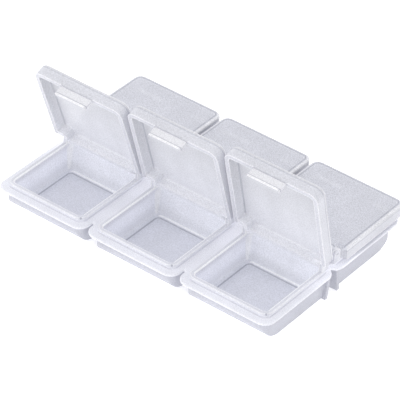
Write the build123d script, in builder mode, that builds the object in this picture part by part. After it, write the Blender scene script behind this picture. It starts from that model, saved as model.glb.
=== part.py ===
"""Clear compartment box: one moulded tray with two rows of three wells, and six flip lids on stub pins.

X runs along the rows, Y across them and Z up. The origin is on the table under the middle of the tray.
The front lids stand open and the rear lids are closed, as the box is usually shown.
"""

import os
from math import cos, radians, sin, tan

from build123d import *

os.makedirs("parts", exist_ok=True)

# Layout of the wells
column_pitch = 55.0
column_count = 3

# Inside of a well
well_spacing = 12.6
opening_y = 44.2
ridge_width = 6.8
rim_height = 16.5
wall_draft = 3.4
floor_thickness = 1.2
inside_radius = 2.4
scoop_radius = 10.0
spine_wall_lean = 2.4

# Outside of a well
side_wall = 2.5
outer_draft = 1.0
front_wall = 2.8
belly_radius = 11.6
belly_bulge = 0.3
outer_corner = 4.0
foot_radius = 0.9

# Raised rim round each well and the flange under it
rim_width = 2.3
rim_corner = 3.4
rim_edge = 0.35
rim_notch = 1.3
rim_step = 2.0
flange_thickness = 1.4
flange_gap = 1.26
flange_reach = 6.4
flange_corner = 6.0
flange_edge = 0.35
notch_depth = 8.4
spine_notch = 3.4

# Two webs along the spine, open underneath between them
web_gap_top = 4.2
web_gap_bottom = 7.6
web_thickness = 1.8
web_end_setback = 1.6

# Hinge ears beside the rim and the stub pins that turn in them
hinge_y = 4.7
hinge_rise = 4.4
ear_setback = 0.3
ear_radius = 2.5
ear_thickness = 2.0
ear_gap = 0.2
pin_radius = 0.97
pin_clearance = 0.08
pin_length = 1.7

# Lid
lid_spacing = 1.8
lid_thickness = 1.2
lid_rise = 2.6
lid_wall = 2.4
lid_seat_gap = 0.15
lid_corner = 4.5
lid_edge_radius = 1.4
lid_inside_edge = 0.6
knuckle_wall = 2.4
knuckle_drop = 3.3
corner_cut_run = 3.2
corner_cut_radius = 0.9

# Latch tab, set back between the skirt's face and the flange
tab_width = 18.6
tab_gap = 0.25
tab_thickness = 1.35
tab_setback = 0.42
tab_reach = 2.1
tab_corner = 0.6
tab_lip_height = 1.1
snap_height = 0.8
snap_reach = 0.45
snap_gap = 0.15
snap_width = 10.0

# How far each front lid stands open, in degrees
open_angles = {"left": 69.4, "middle": 72.1, "right": 75.8}

# Places that follow from the sizes above, for the rear row
column_names = list(open_angles)
column_x = [(i - (column_count - 1) / 2) * column_pitch for i in range(column_count)]
opening_x = column_pitch - well_spacing
opening_near = ridge_width / 2
opening_far = opening_near + opening_y
scoop_top = floor_thickness + scoop_radius * (1 - sin(radians(wall_draft)))
scoop_lean = (rim_height - scoop_top) * tan(radians(wall_draft))
scoop_start = opening_far - scoop_lean - scoop_radius * cos(radians(wall_draft))
flange_height = rim_height - rim_step
flange_bottom = flange_height - flange_thickness
flange_width = column_pitch - flange_gap
flange_far = opening_far + flange_reach
well_half_x = opening_x / 2 + side_wall
well_far = opening_far + front_wall
belly_start = well_far + belly_bulge - belly_radius
rim_half_x = opening_x / 2 + rim_width
rim_far = opening_far + rim_width
row_length = (column_count - 1) * column_pitch + flange_width
hinge_height = rim_height + hinge_rise
ear_inner_x = opening_x / 2 + ear_setback
knuckle_half_x = ear_inner_x - ear_gap
lid_half_x = (column_pitch - lid_spacing) / 2
lid_top = hinge_height + lid_rise
lid_bottom = rim_height + lid_seat_gap
lid_near = hinge_y - knuckle_wall / 2
tab_inner = flange_far + tab_gap
tab_outer = tab_inner + tab_thickness
lid_far = tab_outer + tab_setback
tab_end = flange_bottom - tab_reach

# Inside of one rear well: its side profile with the scoop, cut to its drafted width
with BuildPart() as well_inside:
    with BuildSketch(Plane.YZ):
        with BuildLine():
            floor = Line((opening_near + spine_wall_lean, floor_thickness), (scoop_start, floor_thickness))
            scoop = JernArc(floor @ 1, floor % 1, scoop_radius, 90 - wall_draft)
            Polyline(scoop @ 1, (opening_far, rim_height), (opening_near, rim_height), floor @ 0)
        make_face()
    extrude(amount=opening_x, both=True)
    with BuildSketch(Plane.XY.offset(rim_height)):
        Rectangle(opening_x, 4 * well_far)
    extrude(amount=-rim_height, taper=wall_draft, mode=Mode.INTERSECT)
    below_rim = edges().filter_by(lambda edge: edge.center().Z < rim_height - 0.01)
    scoop_ends = below_rim.filter_by(Axis.X).sort_by(Axis.Y)[-2:]
    fillet([edge for edge in below_rim if edge not in scoop_ends], inside_radius)
    with BuildSketch(Plane.XY.offset(rim_height)):
        with Locations((0, opening_near + opening_y / 2)):
            RectangleRounded(opening_x + 2 * rim_edge, opening_y + 2 * rim_edge, inside_radius)
    extrude(amount=-2 * rim_edge, taper=45)

# Outside of one rear well, whose belly curves up to the flange
with BuildPart() as well_outside:
    with BuildSketch(Plane.YZ):
        with BuildLine():
            foot = Line((web_gap_bottom / 2, 0), (belly_start, 0))
            belly = JernArc(foot @ 1, foot % 1, belly_radius, 90)
            Polyline(
                belly @ 1,
                (well_far + belly_bulge, flange_height),
                (web_gap_top / 2, flange_height),
                foot @ 0,
            )
        make_face()
    extrude(amount=column_pitch / 2, both=True)
    with BuildSketch(Plane.XY.offset(flange_height)):
        RectangleRounded(2 * well_half_x, 2 * well_far, outer_corner)
    extrude(amount=-flange_height, taper=outer_draft, mode=Mode.INTERSECT)
    foot_edges = edges().group_by(Axis.Z)[0].filter_by(Axis.Y)
    fillet(foot_edges, foot_radius)

# One column: a front and a rear well on the same centre
with BuildPart() as column_outside:
    add(well_outside.part)
    mirror(about=Plane.XZ)

with BuildPart() as column_inside:
    add(well_inside.part)
    mirror(about=Plane.XZ)

# Flange under the rims: a rounded leaf for each well, joined along the spine and between the columns
with BuildPart() as flange:
    with BuildSketch(Plane.XY.offset(flange_bottom)):
        for x in column_x:
            with Locations((x, flange_far / 2), (x, -flange_far / 2)):
                RectangleRounded(flange_width, flange_far, flange_corner)
        Rectangle(row_length - 2 * spine_notch, 2 * flange_corner)
        Rectangle(row_length - flange_width, 2 * (flange_far - notch_depth))
    extrude(amount=flange_thickness)
    flange_lines = edges().group_by(Axis.Z)
    chamfer(flange_lines[0] + flange_lines[-1], flange_edge)

# Raised rims: one for each well, joined along the spine
with BuildPart() as rims:
    with BuildSketch(Plane.XY.offset(flange_height)):
        for x in column_x:
            with Locations((x, rim_far / 2), (x, -rim_far / 2)):
                RectangleRounded(2 * rim_half_x, rim_far, rim_corner)
            with Locations((x, 0)):
                Rectangle(2 * (rim_half_x - rim_notch), 2 * rim_corner)
    extrude(amount=rim_step)
    chamfer(edges().group_by(Axis.Z)[-1], rim_edge)

# Ears of one column, each with the hole for a stub pin
with BuildPart() as ears:
    with BuildSketch(Plane.YZ.offset(ear_inner_x)):
        with Locations((hinge_y, (flange_height + hinge_height) / 2)):
            Rectangle(2 * ear_radius, hinge_height - flange_height)
        with Locations((hinge_y, hinge_height)):
            Circle(ear_radius)
            Circle(pin_radius + pin_clearance, mode=Mode.SUBTRACT)
    extrude(amount=ear_thickness)
    mirror(about=Plane.YZ)
    mirror(about=Plane.XZ)

# The tray is one moulding
with BuildPart() as tray:
    with BuildSketch(Plane.YZ):
        with BuildLine():
            Polyline(
                (web_gap_bottom / 2, 0),
                (web_gap_bottom / 2 + web_thickness, 0),
                (web_gap_top / 2 + web_thickness, flange_height),
                (web_gap_top / 2, flange_height),
                close=True,
            )
        make_face()
        mirror(about=Plane.YZ)
    extrude(amount=row_length / 2 - web_end_setback, both=True)
    add(flange.part)
    with Locations(*[(x, 0, 0) for x in column_x]):
        add(column_outside.part)
    add(rims.part)
    with Locations(*[(x, 0, 0) for x in column_x]):
        add(column_inside.part, mode=Mode.SUBTRACT)
    with Locations(*[(x, 0, 0) for x in column_x]):
        add(ears.part)

tray.part.label = "tray"
export_step(tray.part, "parts/tray.step")

# Outline of a closed rear lid, with both hinge corners cut away
with BuildSketch() as lid_outline:
    with Locations((0, (lid_near + lid_far) / 2)):
        Rectangle(2 * lid_half_x, lid_far - lid_near)
    with Locations((0, lid_near)):
        with GridLocations(2 * lid_half_x, 1, 2, 1):
            Rectangle(
                2 * (lid_half_x - knuckle_half_x),
                2 * (hinge_y + corner_cut_run - lid_near),
                mode=Mode.SUBTRACT,
            )
    corners = vertices().group_by(Axis.Y)
    fillet(corners[-1], lid_corner)
    fillet(corners[1], corner_cut_radius)

with BuildPart() as lid_hollow:
    with BuildSketch(Plane.XY.offset(lid_bottom)):
        add(lid_outline.sketch)
        offset(amount=-lid_wall, mode=Mode.REPLACE)
    extrude(amount=lid_top - lid_thickness - lid_bottom)
    chamfer(edges().group_by(Axis.Z)[-1], lid_inside_edge)

# Closed rear lid: cap, knuckle wall on the hinge line, stub pins and latch tab
with BuildPart() as rear_lid:
    with BuildSketch(Plane.XY.offset(lid_bottom)):
        add(lid_outline.sketch)
    extrude(amount=lid_top - lid_bottom)
    fillet(edges().group_by(Axis.Z)[-1], lid_edge_radius)
    add(lid_hollow.part, mode=Mode.SUBTRACT)
    with BuildSketch(Plane.YZ):
        with Locations((lid_near, lid_bottom)):
            Rectangle(2 * knuckle_wall, 2 * (hinge_height - knuckle_drop - lid_bottom))
    extrude(amount=2 * lid_half_x, both=True, mode=Mode.SUBTRACT)
    with BuildSketch(Plane.YZ.offset(knuckle_half_x)):
        with Locations((hinge_y, hinge_height)):
            Circle(pin_radius)
    extrude(amount=pin_length)
    with BuildSketch(Plane.YZ.offset(-knuckle_half_x)):
        with Locations((hinge_y, hinge_height)):
            Circle(pin_radius)
    extrude(amount=-pin_length)
    with BuildSketch(Plane.XZ.offset(-tab_inner)):
        with Locations((0, (tab_end + lid_bottom) / 2)):
            Rectangle(tab_width, lid_bottom - tab_end)
        fillet(vertices().group_by(Axis.Y)[0], tab_corner)
    extrude(amount=-tab_thickness)
    with BuildSketch(Plane.YZ):
        with Locations(((tab_outer + lid_far) / 2, tab_end + tab_lip_height / 2)):
            Rectangle(lid_far - tab_outer, tab_lip_height)
    extrude(amount=tab_width / 2 - tab_corner, both=True)
    with BuildSketch(Plane.YZ):
        with Locations((tab_inner, flange_bottom - snap_gap - snap_height / 2)):
            Rectangle(2 * snap_reach, snap_height)
    extrude(amount=snap_width / 2, both=True)

front_hinge = Axis((0, -hinge_y, hinge_height), (1, 0, 0))
front_lid_form = mirror(rear_lid.part, about=Plane.XZ, mode=Mode.PRIVATE)

for name, x in zip(column_names, column_x):
    opened = front_lid_form.rotate(front_hinge, -open_angles[name])
    with BuildPart() as front_lid:
        with Locations((x, 0, 0)):
            add(opened)
    front_lid.part.label = f"lid_front_{name}"
    export_step(front_lid.part, f"parts/lid_front_{name}.step")
    with BuildPart() as closed_lid:
        with Locations((x, 0, 0)):
            add(rear_lid.part)
    closed_lid.part.label = f"lid_rear_{name}"
    export_step(closed_lid.part, f"parts/lid_rear_{name}.step")
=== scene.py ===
# %% [markdown]
# Clear compartment box with six flip lids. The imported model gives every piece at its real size
# and place. This script gives the pieces the look of hazy moulded plastic, and sets up the floor,
# the studio light and the camera. Each step says first what is being made, how it could be made
# and why this way was chosen.

import math

import bmesh
import bpy
from mathutils import Matrix, Vector

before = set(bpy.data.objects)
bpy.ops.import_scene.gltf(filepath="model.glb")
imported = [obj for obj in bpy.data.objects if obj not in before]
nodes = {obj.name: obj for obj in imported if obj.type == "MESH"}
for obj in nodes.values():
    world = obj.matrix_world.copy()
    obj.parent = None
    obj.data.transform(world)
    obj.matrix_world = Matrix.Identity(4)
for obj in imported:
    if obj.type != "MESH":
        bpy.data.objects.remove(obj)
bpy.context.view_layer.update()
print("nodes:", sorted(nodes))

# %% [markdown]
# Blender works in metres and the box was designed in millimetres, so the sizes below are
# millimetres times MM. They are the few heights, distances and outlines of the moulding that its
# finish follows: rims, flange, walls and lid edges are thicker or thinner, and so look milkier or
# clearer, and the painted light and shade follow them too. An outline is a rounded rectangle,
# given by the distance of its middle from the spine, its two half sizes and its corner radius.

# %% Sizes of the tray that its finish follows
MM = 0.001
COLUMNS = {"left": -55 * MM, "middle": 0.0, "right": 55 * MM}
PITCH = COLUMNS["right"]
FLOOR_TOP = 1.2 * MM
FLANGE_LOW = 13.1 * MM
FLANGE_TOP = 14.5 * MM
FLANGE_FAR = 54.0 * MM
RIM_TOP = 16.5 * MM
RIM_WIDTH = 2.3 * MM
ROW_HALF = 81.87 * MM
NOTCH_START = 45.6 * MM
SCOOP_Y = 37.27 * MM
SCOOP_Z = 11.2 * MM
GATE_X = 22.1 * MM
GATE_Y = 48.7 * MM
LEAF = {"middle": 27.0 * MM, "half": (26.87 * MM, 27.0 * MM), "corner": 6.0 * MM}
WELL = {"middle": 25.5 * MM, "half": (21.2 * MM, 22.1 * MM), "corner": 2.4 * MM}
FLAT = {"middle": 22.56 * MM, "half": (18.03 * MM, 14.71 * MM), "corner": 2.0 * MM}
print("floor, flange and rim in mm:", [round(v / MM, 1) for v in (FLOOR_TOP, FLANGE_TOP, RIM_TOP)])

# %% Sizes of a lid that its finish follows
OPEN_ANGLES = {"left": 69.4, "middle": 72.1, "right": 75.8}
HINGE_Y = 4.7 * MM
HINGE_Z = 20.9 * MM
LID = {"middle": 29.76 * MM, "half": (26.6 * MM, 26.26 * MM), "corner": 4.5 * MM}
LID_TOP = 23.5 * MM
LID_LOW = 16.65 * MM
LID_WALL = 2.4 * MM
PANEL_LOW = LID_TOP - 1.2 * MM
TAB_HALF = 9.3 * MM
TAB_LOW = 11.0 * MM
TAB_FACE = 55.6 * MM
print("lid foot, panel and top in mm:", [round(v / MM, 2) for v in (LID_LOW, PANEL_LOW, LID_TOP)])

# %% [markdown]
# Shader sums could be wired up node by node, but they read best as plain Python. A small class
# wraps a socket, so that an expression such as 1 - mask adds the Math nodes that it needs.


# %% A socket that does sums
class Sock:
    def __init__(self, tree, socket):
        self.tree = tree
        self.socket = socket

    def math(self, operation, other=None, swap=False):
        node = self.tree.nodes.new("ShaderNodeMath")
        node.operation = operation
        first, second = (other, self) if swap else (self, other)
        plug(self.tree, node.inputs[0], first)
        if second is not None:
            plug(self.tree, node.inputs[1], second)
        return Sock(self.tree, node.outputs[0])

    def __add__(self, other):
        return self.math("ADD", other)

    def __radd__(self, other):
        return self.math("ADD", other, swap=True)

    def __sub__(self, other):
        return self.math("SUBTRACT", other)

    def __rsub__(self, other):
        return self.math("SUBTRACT", other, swap=True)

    def __mul__(self, other):
        return self.math("MULTIPLY", other)

    def __rmul__(self, other):
        return self.math("MULTIPLY", other, swap=True)

    def __abs__(self):
        return self.math("ABSOLUTE")

    def lesser(self, other):
        return self.math("MINIMUM", other)

    def greater(self, other):
        return self.math("MAXIMUM", other)

    def root(self):
        return self.math("SQRT")

    def rounded(self):
        return self.math("ROUND")


def plug(tree, target, value):
    if isinstance(value, Sock):
        tree.links.new(value.socket, target)
    else:
        target.default_value = value


def distance(first, second):
    return (first * first + second * second).root()


# %% [markdown]
# Every other node comes from one method, which sets the node's own settings first and then its
# inputs. The helpers under it are the few shapes of mask that the finishes share: a soft step
# from 0 to 1, a soft band round a value, the distance from a rounded rectangle, which is less
# than 0 inside it, and a noise of a given size. The last few mix colours and set the shader. A Mix
# node has a pair of inputs for each type of value, and those of its colours are numbers 6 and 7.


# %% One new material and its nodes
class Finish:
    def __init__(self, name):
        self.material = bpy.data.materials.new(name)
        self.material.use_nodes = True
        self.tree = self.material.node_tree
        self.shader = self.tree.nodes["Principled BSDF"]
        self.place = self.node("ShaderNodeTexCoord", {}, {}, "Object")

    def node(self, kind, settings, inputs, output=0):
        made = self.tree.nodes.new(kind)
        for key, value in settings.items():
            setattr(made, key, value)
        for key, value in inputs.items():
            plug(self.tree, made.inputs[key], value)
        return Sock(self.tree, made.outputs[output])

    def axes(self):
        place = {"Vector": self.place}
        return [self.node("ShaderNodeSeparateXYZ", {}, place, axis) for axis in "XYZ"]

    def step(self, value, start, end):
        limits = {"Value": value, "From Min": start, "From Max": end}
        return self.node("ShaderNodeMapRange", {"interpolation_type": "SMOOTHSTEP"}, limits)

    def band(self, value, middle, half, soft):
        return 1 - self.step(abs(value - middle), half, half + soft)

    def outline(self, across, along, shape):
        corner = shape["corner"]
        over_x = abs(across) - (shape["half"][0] - corner)
        over_y = abs(along - shape["middle"]) - (shape["half"][1] - corner)
        outside = distance(over_x.greater(0.0), over_y.greater(0.0))
        return outside + over_x.greater(over_y).lesser(0.0) - corner

    def noise(self, size, detail, stretch=(1, 1, 1)):
        scales = {"Vector": self.place, "Scale": tuple(s / size for s in stretch)}
        scaled = self.node("ShaderNodeMapping", {}, scales)
        inputs = {"Vector": scaled, "Scale": 1.0, "Detail": detail}
        return self.node("ShaderNodeTexNoise", {}, inputs, "Fac")

    def mix(self, factor, first, second):
        inputs = {0: factor, 6: first, 7: second}
        return self.node("ShaderNodeMix", {"data_type": "RGBA"}, inputs, 2)

    def paint(self, colour, *layers):
        for amount, tint in layers:
            colour = self.mix(amount, colour, tint)
        return colour

    def scale(self, colour, level):
        inputs = {"Vector": colour, "Scale": level}
        return self.node("ShaderNodeVectorMath", {"operation": "SCALE"}, inputs)

    def bump(self, height, depth, strength):
        inputs = {"Height": height, "Distance": depth, "Strength": strength}
        return self.node("ShaderNodeBump", {}, inputs, "Normal")

    def set(self, **values):
        for key, value in values.items():
            plug(self.tree, self.shader.inputs[key.replace("_", " ")], value)


# %% [markdown]
# The plastic is taken to be a hazy polypropylene. A glass shader would bend the light twice in
# each wall, and the box would look like a dark crystal. The real walls scatter most of the light
# near the surface and let a little straight through, so the finish is a milky body whose alpha
# says how much passes. A faint glow of its own colour stands in for light that scatters inside
# the walls and comes out in the corners. Haze clouds, flow streaks, rubbed patches, a fine grain
# and a fine peel vary it over the surface.

# %% How the plastic varies
CLOUD_SIZE = 22 * MM
STREAK_SIZE = 5 * MM
STREAK_STRETCH = (1, 0.12, 1)
GRAIN_SIZE = 0.5 * MM
PEEL_SIZE = 1.6 * MM
RUBBED_SIZE = 9 * MM
NOISE_MIDDLE = 0.5
SCATTER = 0.12
ROUGHNESS = 0.36
COAT = 0.1
COAT_ROUGHNESS = 0.3
IOR = 1.49
LEVEL = {"least": 0.9, "clouds": 0.12, "streaks": 0.08}
CLEARER = {"clouds": 0.16, "grain": 0.1}
ROUGHER = {"rubbed": 0.16, "grain": 0.08}
BUMP = {"streaks": 0.35, "depth": 0.02 * MM, "strength": 0.5}


# %% Hazy plastic
def hazy(finish, colour, opacity, grainy, roughness=ROUGHNESS, coat=COAT):
    clouds = finish.noise(CLOUD_SIZE, 3.0)
    streaks = finish.noise(STREAK_SIZE, 2.0, STREAK_STRETCH)
    grain = finish.noise(GRAIN_SIZE, 2.0)
    peel = finish.noise(PEEL_SIZE, 1.0)
    rubbed = finish.noise(RUBBED_SIZE, 4.0)
    uneven_grain, uneven_clouds = grain - NOISE_MIDDLE, clouds - NOISE_MIDDLE
    level = LEVEL["least"] + grainy * uneven_grain
    level = level + LEVEL["clouds"] * clouds + LEVEL["streaks"] * streaks
    shade = finish.scale(colour, level)
    alpha = opacity + CLEARER["clouds"] * uneven_clouds + CLEARER["grain"] * uneven_grain
    finish.set(
        Base_Color=shade,
        Emission_Color=shade,
        Emission_Strength=SCATTER,
        Alpha=alpha.lesser(1.0),
        Roughness=roughness + ROUGHER["rubbed"] * rubbed + ROUGHER["grain"] * grain,
        IOR=IOR,
        Coat_Weight=coat,
        Coat_Roughness=COAT_ROUGHNESS,
        Normal=finish.bump(peel + BUMP["streaks"] * streaks, BUMP["depth"], BUMP["strength"]),
    )


# %% Colours of the plastic
# These are tones of one plastic. The darker belly, well floors, lid outside and lid inside towards
# the tab are painted shade. The lighter walls, flange by the spine and lid inside by the hinge are
# painted light. The dark line colour paints shade lines and also the gate mark, and the bright edge
# colour and pure white paint highlights.
LINE = (0.28, 0.29, 0.35, 1)
BELLY = (0.508, 0.513, 0.571, 1)
SHADED_WELL_FLOOR = (0.655, 0.665, 0.73, 1)
SPINE_WALL = (0.84, 0.85, 0.9, 1)
SIDE_WALL = (0.87, 0.88, 0.945, 1)
RIM = (0.64, 0.645, 0.7, 1)
FLANGE = (0.745, 0.75, 0.805, 1)
FLANGE_LIGHTER_BY_SPINE = (0.87, 0.875, 0.935, 1)
LID_INSIDE_LIGHTER_BY_HINGE = (0.775, 0.78, 0.822, 1)
LID_INSIDE_SHADED_BY_TAB = (0.615, 0.62, 0.652, 1)
SHADED_LID_OUTSIDE = (0.595, 0.602, 0.662, 1)
SKIRT = (0.59, 0.595, 0.645, 1)
TAB = (0.7, 0.7, 0.735, 1)
EDGE_HIGHLIGHT = (0.86, 0.86, 0.89, 1)
PURE_WHITE = (1.0, 1.0, 1.0, 1)

# %% [markdown]
# The tray's flat floors are painted darkest, as painted shade, and the walls round them are
# painted lighter, most of all towards the top, as painted light. The outside under the flange is
# painted darker, as painted shade. The flange is painted lightest by the spine, as painted light.
# The edges of the rims and the flange get thin painted highlights, while the line where a floor
# meets its walls, or a rim its flange, gets a dark line of painted shade. Each rim has a small
# gate mark at one corner.
#
# Lines could be painted on an unwrapped mesh. Here they are masks that follow height and the
# distance from the outline of a well, of its flat floor and of the flange's leaf, so they sit on
# the moulding itself. Two kinds of value place them. A pair says where a soft step starts and
# ends. Three values say where the middle of a line is, how far it reaches to each side and how
# wide its soft border is.

# %% Where the wells' finish changes
WELL_EDGE = (-0.25 * MM, 0.05 * MM)
FLOOR_RISE = (FLOOR_TOP + 0.2 * MM, FLOOR_TOP + 1.2 * MM)
FILLET_RISE = (FLOOR_TOP + 0.5 * MM, FLOOR_TOP + 1.4 * MM)
WALL_RISE = (2.5 * MM, 9 * MM)
SPINE_WALL_END = (6.6 * MM, 7.8 * MM)
SIDE_WALL_START = (18.4 * MM, 19.2 * MM)
CORNER_START = (19.0 * MM, 20.0 * MM)
FLOOR_END = (SCOOP_Y - 1.0 * MM, SCOOP_Y)
FLOOR_LINE = (0.0, 0.25 * MM, 0.35 * MM)
FILLET_LINE = (1.3 * MM, 0.2 * MM, 0.4 * MM)
SCOOP_LINE = (7.8 * MM, 0.15 * MM, 0.4 * MM)
SCOOP_START = (SCOOP_Y, SCOOP_Y + 0.8 * MM)
SCOOP_RISE = (SCOOP_Z - 0.8 * MM, SCOOP_Z)
WALL_LEVEL = {"foot": 0.88, "more": 0.17}


# %% Masks of the wells
def well_masks(finish, column, spine, z):
    from_flat = finish.outline(column, spine, FLAT)
    by_spine = 1 - finish.step(spine, *SPINE_WALL_END)
    low = 1 - finish.step(z, *FILLET_RISE)
    floor_shade_line = finish.band(from_flat, *FLOOR_LINE) * low * (1 - finish.step(spine, *FLOOR_END))
    scoop_shade_line = (
        finish.band(distance(spine - SCOOP_Y, z - SCOOP_Z), *SCOOP_LINE)
        * finish.step(column, *SIDE_WALL_START)
        * finish.step(spine, *SCOOP_START)
        * (1 - finish.step(z, *SCOOP_RISE))
    )
    # painted light and shade: the wall tones, and their lightening towards the top
    wall = finish.mix(by_spine, SIDE_WALL, SPINE_WALL)
    painted_light_rise = WALL_LEVEL["foot"] + WALL_LEVEL["more"] * finish.step(z, *WALL_RISE)
    return {
        "wall": finish.scale(wall, painted_light_rise),
        "floor": 1 - finish.step(z, *FLOOR_RISE),
        # painted highlight in the wells' rear corners
        "corner": finish.step(column, *CORNER_START) * by_spine,
        "lines": floor_shade_line + scoop_shade_line,
        "fillet_highlight": finish.band(from_flat, *FILLET_LINE) * by_spine * low,
    }


# %% Where the rims' and the flange's finish changes
FLANGE_RISE = (FLANGE_LOW - 1.0 * MM, FLANGE_LOW)
RIM_SIDE_END = (FLANGE_TOP + 1.2 * MM, FLANGE_TOP + 1.6 * MM)
RIM_RISE = (RIM_TOP - 0.9 * MM, RIM_TOP - 0.4 * MM)
FLANGE_FADE = (10 * MM, 26 * MM)
RIM_INNER_LINE = (0.15 * MM, 0.25 * MM, 0.3 * MM)
RIM_OUTER_LINE = (RIM_WIDTH - 0.2 * MM, 0.15 * MM, 0.3 * MM)
RIM_OUTER_AMOUNT = 0.4
GROOVE_HEIGHT = (FLANGE_TOP, 0.2 * MM, 0.4 * MM)
GROOVE_PLACE = (RIM_WIDTH, 0.3 * MM, 0.3 * MM)
LEAF_EDGE = (-0.8 * MM, -0.35 * MM)
NOTCH_END = (NOTCH_START - 1.0 * MM, NOTCH_START)
ROW_END = (ROW_HALF - 1.4 * MM, ROW_HALF - 0.8 * MM)
REAR_ROW = (0.0, 20 * MM)
LEAF_HIGHLIGHT = {"open": 0.2, "less_at_rear": 0.15}
GATE_EDGE = (0.35 * MM, 0.7 * MM)


# %% Masks of the rims and the flange
def rim_masks(finish, from_well, centred, spine, z):
    on_rim = finish.step(z, *RIM_RISE)
    # painted highlights along the rims' inner and outer edges
    inner_highlight = finish.band(from_well, *RIM_INNER_LINE)
    outer_highlight = finish.band(from_well, *RIM_OUTER_LINE)
    groove_shade = finish.band(z, *GROOVE_HEIGHT) * finish.band(from_well, *GROOVE_PLACE)
    from_gate = distance(centred - GATE_X, spine - GATE_Y)
    # painted light: the flange is painted lighter near the spine
    flange = finish.mix(finish.step(spine, *FLANGE_FADE), FLANGE_LIGHTER_BY_SPINE, FLANGE)
    return {
        "flange": finish.mix(finish.step(z, *RIM_SIDE_END), flange, RIM),
        "rim_highlights": (inner_highlight + RIM_OUTER_AMOUNT * outer_highlight) * on_rim,
        "groove_shade": groove_shade,
        "gate": (1 - finish.step(from_gate, *GATE_EDGE)) * on_rim,
    }


# painted highlight along the flange's free edge, weaker at the rear row
def leaf_edge_highlight(finish, x, y, column, spine):
    from_leaf = finish.outline(column, spine, LEAF)
    free = finish.step(spine, *NOTCH_END).greater(finish.step(abs(x), *ROW_END))
    amount = LEAF_HIGHLIGHT["open"] - LEAF_HIGHLIGHT["less_at_rear"] * finish.step(y, *REAR_ROW)
    return finish.step(from_leaf, *LEAF_EDGE) * free * amount


# %% [markdown]
# The tray's colour is painted in layers, from the large faces to the thin lines, with the amount
# of each layer named beside it. All six wells share one set of masks: the distance from the middle
# of the nearest column stands in for x, and the distance from the spine for y. The wells are
# rougher and less glossy than the rest, because the parts kept in them rub the surface.

# %% Amounts of the tray's layers
TRAY_AMOUNT = {
    "corner": 0.6,
    "lines": 0.75,
    "groove_shade": 0.2,
    "fillet_highlight": 0.8,
    "rim_highlights": 0.85,
    "gate": 0.8,
}
TRAY_OPACITY = 0.78
THICKER = 0.06
TRAY_GRAIN = 0.58
WELL_ROUGHER = 0.3


# %% Tray finish
def tray_finish():
    finish = Finish("tray_plastic")
    x, y, z = finish.axes()
    centred = x - PITCH * (x * (1 / PITCH)).rounded()
    column, spine = abs(centred), abs(y)
    from_well = finish.outline(column, spine, WELL)
    inside = 1 - finish.step(from_well, *WELL_EDGE)
    raised = finish.step(z, *FLANGE_RISE) * (1 - inside)
    well = well_masks(finish, column, spine, z)
    rim = rim_masks(finish, from_well, centred, spine, z)

    colour = finish.paint(
        # painted shade: the belly under the flange is painted darker
        BELLY,
        (inside, well["wall"]),
        # painted shade: the well floors are painted darker than their walls
        (inside * well["floor"], SHADED_WELL_FLOOR),
        # painted highlight in the wells' rear corners
        (TRAY_AMOUNT["corner"] * inside * well["corner"], PURE_WHITE),
        # painted light: the flange is painted lighter near the spine
        (raised, rim["flange"]),
        # painted shade lines where the floors meet the walls and along the scoop's edge
        (TRAY_AMOUNT["lines"] * inside * well["lines"], LINE),
        # painted shade in the step between the rim and the flange
        (TRAY_AMOUNT["groove_shade"] * rim["groove_shade"], LINE),
        # painted highlight along the fillet behind the floor
        (TRAY_AMOUNT["fillet_highlight"] * inside * well["fillet_highlight"], PURE_WHITE),
        # painted highlight along the flange's free edge
        (leaf_edge_highlight(finish, x, y, column, spine) * raised, EDGE_HIGHLIGHT),
        # painted highlights along the rims' edges
        (TRAY_AMOUNT["rim_highlights"] * rim["rim_highlights"], PURE_WHITE),
        (TRAY_AMOUNT["gate"] * rim["gate"], LINE),
    )
    opacity = TRAY_OPACITY + THICKER * raised
    hazy(
        finish, colour, opacity, TRAY_GRAIN, ROUGHNESS + WELL_ROUGHER * inside, COAT * (1 - inside)
    )
    return finish.material


# %% [markdown]
# Each lid is a thin panel inside a thicker skirt. The masks are written for a closed lid of the
# middle column, and a Mapping node first takes a lid's own points there, so an open lid keeps
# its finish on the right edges. The panel is painted darker outside than inside, as painted shade,
# and grainier, and inside it has painted shade towards the tab. This is told by face and not by
# row, so that every lid looks right both open and closed. The skirt's foot, the tab's lip and the
# rounded top edge get painted highlights, and the creases beside them get painted shade lines.

# %% Where a lid's finish changes
HINGE_TO_TAB = (2 * MM, 48 * MM)
OUTSIDE_RISE = (LID_TOP - 0.8 * MM, LID_TOP - 0.4 * MM)
KNUCKLE_END = (6.4 * MM, 8.2 * MM)
SKIRT_START = (-LID_WALL, -LID_WALL + 0.25 * MM)
PANEL_RISE = (PANEL_LOW - 0.5 * MM, PANEL_LOW)
FOOT_RISE = (LID_LOW + 0.1 * MM, LID_LOW + 0.5 * MM)
FOOT_OUTER_EDGE = (-0.5 * MM, -0.2 * MM)
FOOT_INNER_LINE = (-LID_WALL, 0.2 * MM, 0.3 * MM)
CREASE_PLACE = (-LID_WALL - 0.5 * MM, 0.2 * MM, 0.4 * MM)
CREASE_HEIGHT = (PANEL_LOW, 0.3 * MM, 0.4 * MM)
SIDE_LINE = (LID_TOP - 1.9 * MM, 0.15 * MM, 0.35 * MM)
SIDE_FACE = (-0.8 * MM, -0.5 * MM)
TOP_RISE = (LID_TOP - 1.1 * MM, LID_TOP - 0.2 * MM)
ROUND_START = (-1.5 * MM, -0.9 * MM)
ROUND_LINE = (-2.0 * MM, 0.12 * MM, 0.35 * MM)


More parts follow.
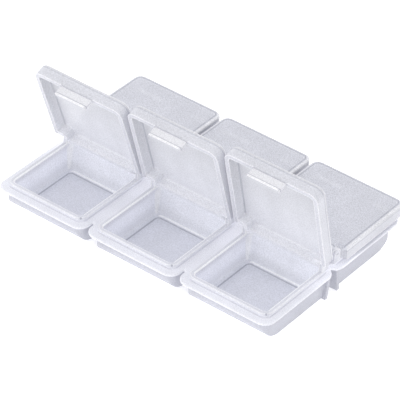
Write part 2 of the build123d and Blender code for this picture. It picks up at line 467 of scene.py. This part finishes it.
# %% Masks of a lid's panel and skirt
def skirt_masks(finish, from_edge, out, up):
    away = finish.step(out, *KNUCKLE_END)
    outer = finish.step(from_edge, *SKIRT_START)
    foot = away * (1 - finish.step(up, *FOOT_RISE))
    top = finish.step(up, *TOP_RISE)
    foot_edge_highlights = finish.step(from_edge, *FOOT_OUTER_EDGE) + finish.band(from_edge, *FOOT_INNER_LINE)
    crease = finish.band(from_edge, *CREASE_PLACE) * finish.band(up, *CREASE_HEIGHT)
    return {
        "skirt": away * outer * (1 - finish.step(up, *PANEL_RISE)),
        "foot_highlights": foot * foot_edge_highlights,
        "crease": away * crease,
        "side_shade_line": finish.band(up, *SIDE_LINE) * finish.step(from_edge, *SIDE_FACE),
        "round_highlight": finish.step(from_edge, *ROUND_START) * top,
        "round_shade_line": finish.band(from_edge, *ROUND_LINE) * top,
    }


# %% Where a tab's finish changes
TAB_SIDE = (TAB_HALF, TAB_HALF + 0.3 * MM)
TAB_START = (FLANGE_FAR - 0.6 * MM, FLANGE_FAR)
TAB_RISE = (LID_LOW - 0.2 * MM, LID_LOW + 0.2 * MM)
TAB_ROOT = (LID_LOW, 0.25 * MM, 0.3 * MM)
TAB_END = (TAB_LOW + 0.05 * MM, TAB_LOW + 0.25 * MM)
LIP_FACE = (TAB_FACE - 0.1 * MM, TAB_FACE + 0.1 * MM)
LIP_RISE = (TAB_LOW + 0.9 * MM, TAB_LOW + 1.1 * MM)
LIP_LINE = (TAB_LOW + 1.25 * MM, 0.15 * MM, 0.3 * MM)
UNDER_LIP = (TAB_FACE - 0.25 * MM, 0.1 * MM, 0.25 * MM)


# %% Masks of a tab
def tab_masks(finish, across, out, up):
    on_tab = (1 - finish.step(across, *TAB_SIDE)) * finish.step(out, *TAB_START)
    on_lip = finish.step(out, *LIP_FACE)
    tab = on_tab * (1 - finish.step(up, *TAB_RISE))
    end = tab * (1 - on_lip) * (1 - finish.step(up, *TAB_END))
    return {
        "on_tab": on_tab,
        "tab": tab,
        "root": on_tab * finish.band(up, *TAB_ROOT),
        "end": end,
        "lip": tab * on_lip * (1 - finish.step(up, *LIP_RISE)),
        "lip_line": tab * finish.band(up, *LIP_LINE),
        "under_lip_shade": end * finish.band(out, *UNDER_LIP),
    }


# %% Amounts of a lid's layers
LID_AMOUNT = {
    "round_highlight": 0.7,
    "round_shade_line": 0.6,
    "crease": 0.45,
    "side_shade_line": 0.35,
    "foot_highlights": 0.6,
    "tab_root_shade": 0.22,
    "lip": 0.9,
    "lip_line": 0.6,
    "under_lip_shade": 0.3,
}
LID_OPACITY = 0.8
LID_GRAIN = {"inside": 0.62, "more_outside": 0.44}


# %% A lid's own directions
def lid_axes(finish, row, column):
    side = -1 if row == "front" else 1
    angle = math.radians(OPEN_ANGLES[column]) if row == "front" else 0.0
    hinge = (COLUMNS[column], side * HINGE_Y, HINGE_Z)
    inputs = {"Vector": finish.place, "Location": hinge, "Rotation": (-angle, 0, 0)}
    finish.place = finish.node("ShaderNodeMapping", {"vector_type": "TEXTURE"}, inputs)
    x, y, z = finish.axes()
    return abs(x), side * y + HINGE_Y, z + HINGE_Z


# %% Lid finish
def lid_finish(row, column):
    finish = Finish(f"lid_plastic_{row}_{column}")
    across, out, up = lid_axes(finish, row, column)
    from_edge = finish.outline(across, out, LID)
    lid = skirt_masks(finish, from_edge, out, up)
    tab = tab_masks(finish, across, out, up)

    outside = finish.step(up, *OUTSIDE_RISE)
    # painted light and shade: the inside is lighter by the hinge and darker towards the tab
    inside = finish.mix(finish.step(out, *HINGE_TO_TAB), LID_INSIDE_LIGHTER_BY_HINGE, LID_INSIDE_SHADED_BY_TAB)
    # painted shade lines in the skirt's inner crease and along its side
    crease_shade_lines = (LID_AMOUNT["crease"] * lid["crease"]).greater(
        LID_AMOUNT["side_shade_line"] * lid["side_shade_line"]
    )
    # painted shade lines above the tab's lip and under it
    lip_shade_lines = (LID_AMOUNT["lip_line"] * tab["lip_line"]).greater(
        LID_AMOUNT["under_lip_shade"] * tab["under_lip_shade"]
    )
    colour = finish.paint(
        inside,
        # painted shade: the outside face is painted darker than the inside
        (outside, SHADED_LID_OUTSIDE),
        (lid["skirt"], SKIRT),
        # painted highlight on the lid's rounded top edge
        (LID_AMOUNT["round_highlight"] * lid["round_highlight"], EDGE_HIGHLIGHT),
        # painted shade line just inside the rounded top edge
        (LID_AMOUNT["round_shade_line"] * lid["round_shade_line"], LINE),
        (crease_shade_lines, LINE),
        (tab["tab"], TAB),
        # painted highlights on the edges of the skirt's foot
        (LID_AMOUNT["foot_highlights"] * lid["foot_highlights"] * (1 - tab["on_tab"]), EDGE_HIGHLIGHT),
        # painted shade in the crease at the tab's root
        (LID_AMOUNT["tab_root_shade"] * tab["root"], LINE),
        # the tab's end face takes the painted-shade tone of the inside by the tab
        (tab["end"], LID_INSIDE_SHADED_BY_TAB),
        # painted highlight on the tab's lip
        (LID_AMOUNT["lip"] * tab["lip"], EDGE_HIGHLIGHT),
        (lip_shade_lines, LINE),
    )
    opacity = LID_OPACITY + THICKER * lid["skirt"].greater(tab["tab"])
    hazy(finish, colour, opacity, LID_GRAIN["inside"] + LID_GRAIN["more_outside"] * outside)
    return finish.material


# %% Put the finishes on the pieces
for name, node in nodes.items():
    material = tray_finish() if name == "tray" else lid_finish(*name.split("_")[1:])
    node.data.materials.clear()
    node.data.materials.append(material)
    print(name, "has", len(material.node_tree.nodes), "nodes")

# %% [markdown]
# The box stands on a plain white sweep that fills the view. It is one large face made with a
# bmesh operator. It lies a hair under the box's feet, because two faces in one plane would
# flicker into each other, and it glows slightly, as a lit sweep does, which keeps shadows faint.

# %% Floor
FLOOR_HALF = 3.0
FLOOR_DROP = 0.05 * MM
PAPER = (0.9, 0.9, 0.9, 1)
PAPER_ROUGHNESS = 0.8
PAPER_GLOW = 0.45
floor_mesh = bpy.data.meshes.new("floor")
sheet = bmesh.new()
bmesh.ops.create_grid(sheet, x_segments=1, y_segments=1, size=FLOOR_HALF)
bmesh.ops.translate(sheet, verts=sheet.verts, vec=(0, 0, -FLOOR_DROP))
sheet.to_mesh(floor_mesh)
sheet.free()
floor = bpy.data.objects.new("floor", floor_mesh)
bpy.context.scene.collection.objects.link(floor)
paper = Finish("floor_paper")
paper.set(
    Base_Color=PAPER,
    Roughness=PAPER_ROUGHNESS,
    Emission_Color=PURE_WHITE,
    Emission_Strength=PAPER_GLOW,
)
floor_mesh.materials.append(paper.material)
print("floor has", len(floor_mesh.polygons), "face, below the feet by", FLOOR_DROP / MM, "mm")

# %% [markdown]
# The camera stands in front of the box, to its right and above it, and looks through a long lens,
# as a catalogue photographer would, so that the edges stay nearly parallel. It is aimed by the
# pixel of the picture where the middle of the box's foot is seen.

# %% Camera
AZIMUTH = math.radians(36.11)
ELEVATION = math.radians(36.93)
ROLL = math.radians(2.98)
DISTANCE = 1.48559
SENSOR = 36.0
FOCAL_PIXELS = 3082.64
IMAGE_PIXELS = 400
AIM_PIXEL = (197.22, 226.29)
FARTHEST = 20

back = Vector(
    (
        math.sin(AZIMUTH) * math.cos(ELEVATION),
        -math.cos(AZIMUTH) * math.cos(ELEVATION),
        math.sin(ELEVATION),
    )
)
level = Vector((math.cos(AZIMUTH), math.sin(AZIMUTH), 0))
right = Matrix.Rotation(ROLL, 3, back) @ level
up = back.cross(right)
off_right = (AIM_PIXEL[0] - IMAGE_PIXELS / 2) / FOCAL_PIXELS * DISTANCE
off_up = -(AIM_PIXEL[1] - IMAGE_PIXELS / 2) / FOCAL_PIXELS * DISTANCE
place = DISTANCE * back - off_right * right - off_up * up

lens = bpy.data.cameras.new("camera")
lens.sensor_width = SENSOR
lens.lens = FOCAL_PIXELS / IMAGE_PIXELS * SENSOR
lens.clip_end = FARTHEST
camera = bpy.data.objects.new("camera", lens)
camera.matrix_world = Matrix((right, up, back)).transposed().to_4x4()
camera.matrix_world.translation = place
bpy.context.scene.collection.objects.link(camera)
bpy.context.scene.camera = camera
print("camera at", [round(v, 3) for v in place], "lens", round(lens.lens, 1))

# %% [markdown]
# A catalogue picture of clear plastic is lit almost evenly, so that it has no hard shadows. The
# world gives the even light. One large soft box above and one at the front left add a little
# direction, which draws the rims and the rounded edges.

# %% Studio light
SOFT_BOXES = {
    "top_box": {"place": (0.1, 0.3, 1.3), "size": 2.0, "power": 6},
    "front_box": {"place": (-0.7, -1.1, 0.7), "size": 1.4, "power": 5},
}
WORLD_LIGHT = 0.85

for name, box in SOFT_BOXES.items():
    light = bpy.data.lights.new(name, "AREA")
    light.size = box["size"]
    light.energy = box["power"]
    lamp = bpy.data.objects.new(name, light)
    lamp.location = box["place"]
    lamp.rotation_euler = (-Vector(box["place"])).to_track_quat("-Z", "Y").to_euler()
    bpy.context.scene.collection.objects.link(lamp)
    print(name, "gives", box["power"], "W from", box["size"], "m square")

world = bpy.data.worlds.new("studio")
bpy.context.scene.world = world
world.use_nodes = True
world.node_tree.nodes["Background"].inputs["Color"].default_value = PURE_WHITE
world.node_tree.nodes["Background"].inputs["Strength"].default_value = WORLD_LIGHT
bpy.context.scene.view_settings.view_transform = "Standard"
